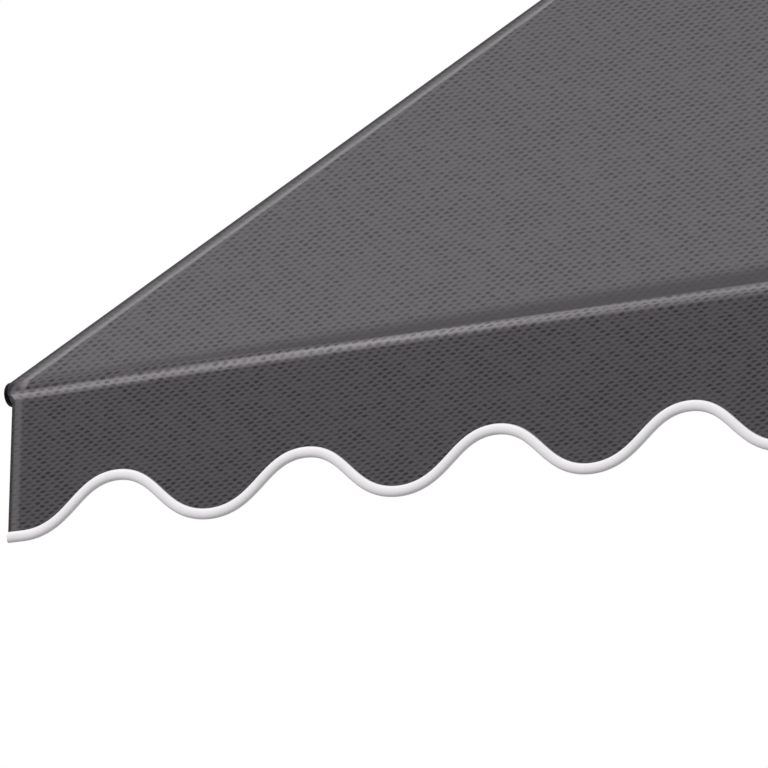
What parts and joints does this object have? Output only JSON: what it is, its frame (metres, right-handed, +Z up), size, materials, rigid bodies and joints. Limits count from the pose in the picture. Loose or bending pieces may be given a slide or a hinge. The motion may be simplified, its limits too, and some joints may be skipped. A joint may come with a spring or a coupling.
{
  "type": "window awning",
  "caption": "Folding-arm window awning with a canvas roller, a crank gearbox, a round front bar and a scalloped valance with a corded edge.",
  "frame": {"origin": "middle of the centre wall bracket's back face, on the wall", "axes": "+X along the wall to the right seen from the front, +Y into the wall, +Z up"},
  "size_m": [2.5211, 1.5833, 1.1822],
  "materials": {
    "canvas": "coarse woven dark grey canvas with staggered darker threads",
    "binding": "smooth white padded cord edge",
    "black_plastic": "moulded black plastic",
    "coated_aluminium": "dark grey powder coat",
    "cast_aluminium": "dark grey coated casting",
    "steel": "stainless steel",
    "brass": "machined brass"
  },
  "bodies": {
    "wall_frame": {"torsion_bar": "coated_aluminium", "torsion_cap_left": "black_plastic", "torsion_cap_right": "black_plastic", "wall_bracket_left": "cast_aluminium", "wall_bracket_centre": "cast_aluminium", "wall_bracket_right": "cast_aluminium", "wall_bracket_bolt_left": "steel", "wall_bracket_bolt_centre": "steel", "wall_bracket_bolt_right": "steel", "arm_bracket_left": "cast_aluminium", "arm_bracket_right": "cast_aluminium", "arm_bracket_bolt_left": "steel", "arm_bracket_bolt_right": "steel", "shoulder_pin_left": "steel", "shoulder_pin_right": "steel", "roller_bracket_left": "cast_aluminium", "roller_bracket_right": "cast_aluminium", "gearbox_housing": "black_plastic", "gearbox_cover": "black_plastic", "canopy": "canvas"},
    "roller": {"roller_tube": "coated_aluminium", "fabric_roll": "canvas", "roller_plug_left": "black_plastic", "roller_plug_right": "black_plastic", "crown_gear": "brass"},
    "crank": {"crank_eye": "steel", "pinion": "steel"},
    "left_upper_arm": {"shoulder_end_left": "cast_aluminium", "upper_arm_left": "coated_aluminium", "elbow_fork_left": "cast_aluminium", "elbow_pin_left": "steel"},
    "left_forearm": {"elbow_tongue_left": "cast_aluminium", "forearm_left": "coated_aluminium", "forearm_tip_left": "cast_aluminium", "tension_spring_left": "steel"},
    "right_upper_arm": {"shoulder_end_right": "cast_aluminium", "upper_arm_right": "coated_aluminium", "elbow_fork_right": "cast_aluminium", "elbow_pin_right": "steel"},
    "right_forearm": {"elbow_tongue_right": "cast_aluminium", "forearm_right": "coated_aluminium", "forearm_tip_right": "cast_aluminium", "tension_spring_right": "steel"},
    "front_bar": {"front_bar": "coated_aluminium", "bar_cap_left": "black_plastic", "bar_cap_right": "black_plastic", "front_bracket_left": "cast_aluminium", "front_bracket_right": "cast_aluminium", "front_pin_left": "steel", "front_pin_right": "steel", "front_screw_left": "steel", "front_screw_right": "steel", "valance": "canvas", "valance_binding": "binding"}
  },
  "joints": [
    {"name": "left_shoulder", "type": "hinge", "parent": "wall_frame", "child": "left_upper_arm", "pos_m": [-1.035, -0.11, -0.025], "axis": [0, -0.5057, 0.8627], "range_deg": [0, 68], "deforming": ["canopy"]},
    {"name": "left_elbow", "type": "hinge", "parent": "left_upper_arm", "child": "left_forearm", "pos_m": [-0.78709, -0.80956, -0.43508], "axis": [0, -0.5057, 0.8627], "range_deg": [-136, 0]},
    {"name": "left_front_pivot", "type": "hinge", "parent": "left_forearm", "child": "front_bar", "pos_m": [-1.035, -1.50912, -0.84516], "axis": [0, -0.5057, 0.8627], "range_deg": [0, 68]},
    {"name": "right_shoulder", "type": "hinge", "parent": "wall_frame", "child": "right_upper_arm", "pos_m": [1.035, -0.11, -0.025], "axis": [0, -0.5057, 0.8627], "range_deg": [-68, 0]},
    {"name": "right_elbow", "type": "hinge", "parent": "right_upper_arm", "child": "right_forearm", "pos_m": [0.78709, -0.80956, -0.43508], "axis": [0, -0.5057, 0.8627], "range_deg": [0, 136]},
    {"name": "roller_spin", "type": "hinge", "parent": "wall_frame", "child": "roller", "pos_m": [0, -0.085, 0.085], "axis": [1, 0, 0], "range_deg": [-2536.4, 0]},
    {"name": "crank_spin", "type": "hinge", "parent": "wall_frame", "child": "crank", "pos_m": [1.2499, -0.085, 0], "axis": [0, 0, 1], "range_deg": [0, 11160.16]}
  ],
  "couplings": [
    {"joint": "left_elbow", "follows": "left_shoulder", "ratio": -2},
    {"joint": "left_front_pivot", "follows": "left_shoulder", "ratio": 1},
    {"joint": "right_shoulder", "follows": "left_shoulder", "ratio": -1},
    {"joint": "right_elbow", "follows": "left_shoulder", "ratio": 2},
    {"joint": "roller_spin", "follows": "left_shoulder", "ratio": -37.3},
    {"joint": "crank_spin", "follows": "left_shoulder", "ratio": 164.12}
  ]
}
